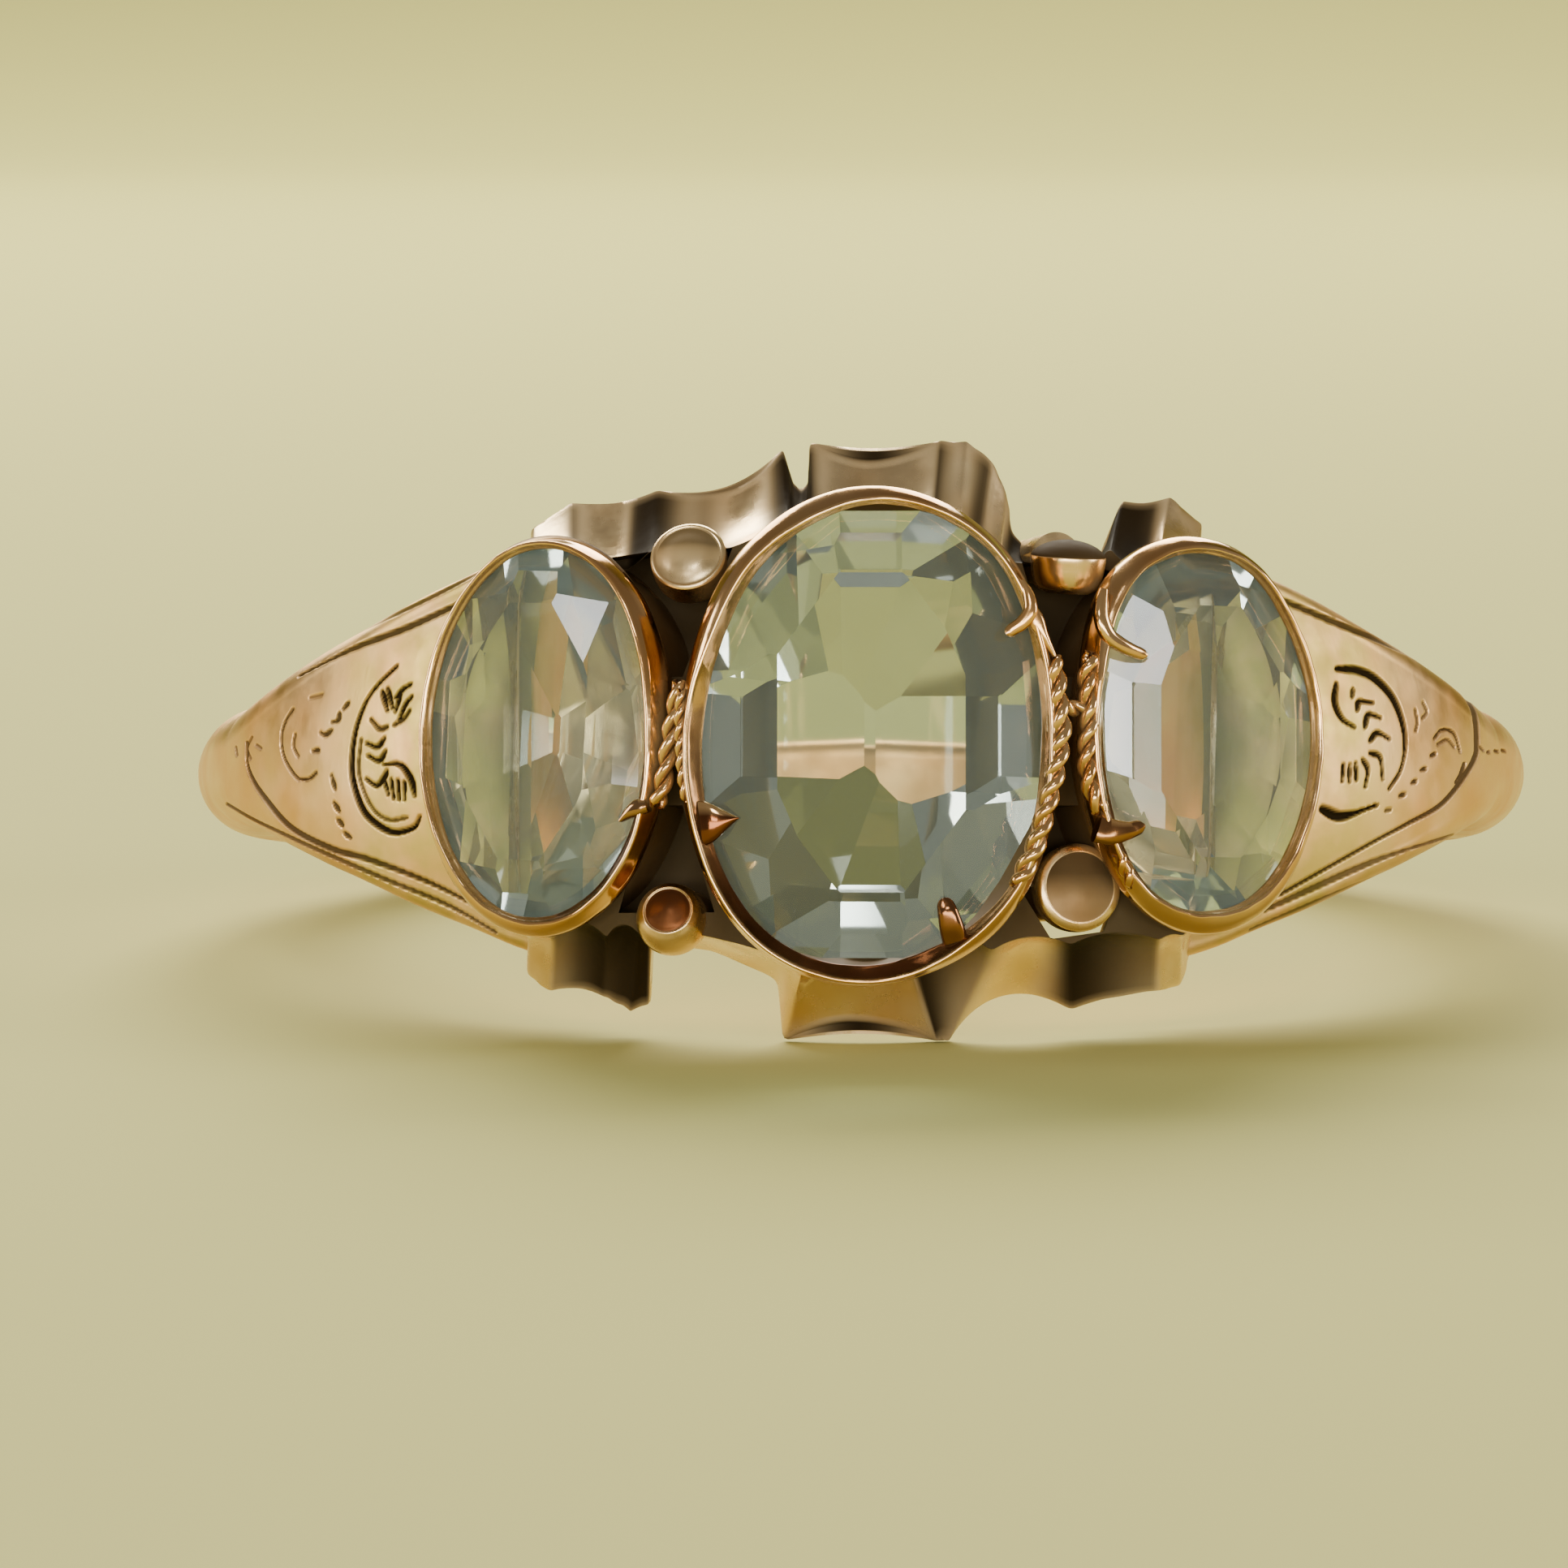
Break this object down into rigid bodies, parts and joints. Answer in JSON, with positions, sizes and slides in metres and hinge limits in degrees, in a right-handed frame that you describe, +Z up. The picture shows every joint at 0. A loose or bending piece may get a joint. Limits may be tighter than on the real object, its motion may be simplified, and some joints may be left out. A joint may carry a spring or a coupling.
{
  "type": "three-stone ring",
  "caption": "Rose gold finger ring with a large oval stone between two smaller ones, in rubbed-over collets on a fluted gallery, with engraved widening shoulders.",
  "frame": {"origin": "middle of the ring's box, on the surface that it lies on", "axes": "+Z up from that surface, -Y toward the stones, +X to the right as the stones are looked at; the finger hole's axis leans from +Z toward +Y by the ring's resting tilt of 9.9 degrees"},
  "size_m": [0.0204, 0.0224, 0.0083],
  "materials": {
    "gold": "worn polish with dark tarnish in the hollows",
    "stone": "polished facets"
  },
  "bodies": {
    "root": {"gold_mount": "gold", "stone_centre": "stone", "stone_left": "stone", "stone_right": "stone"}
  },
  "joints": []
}
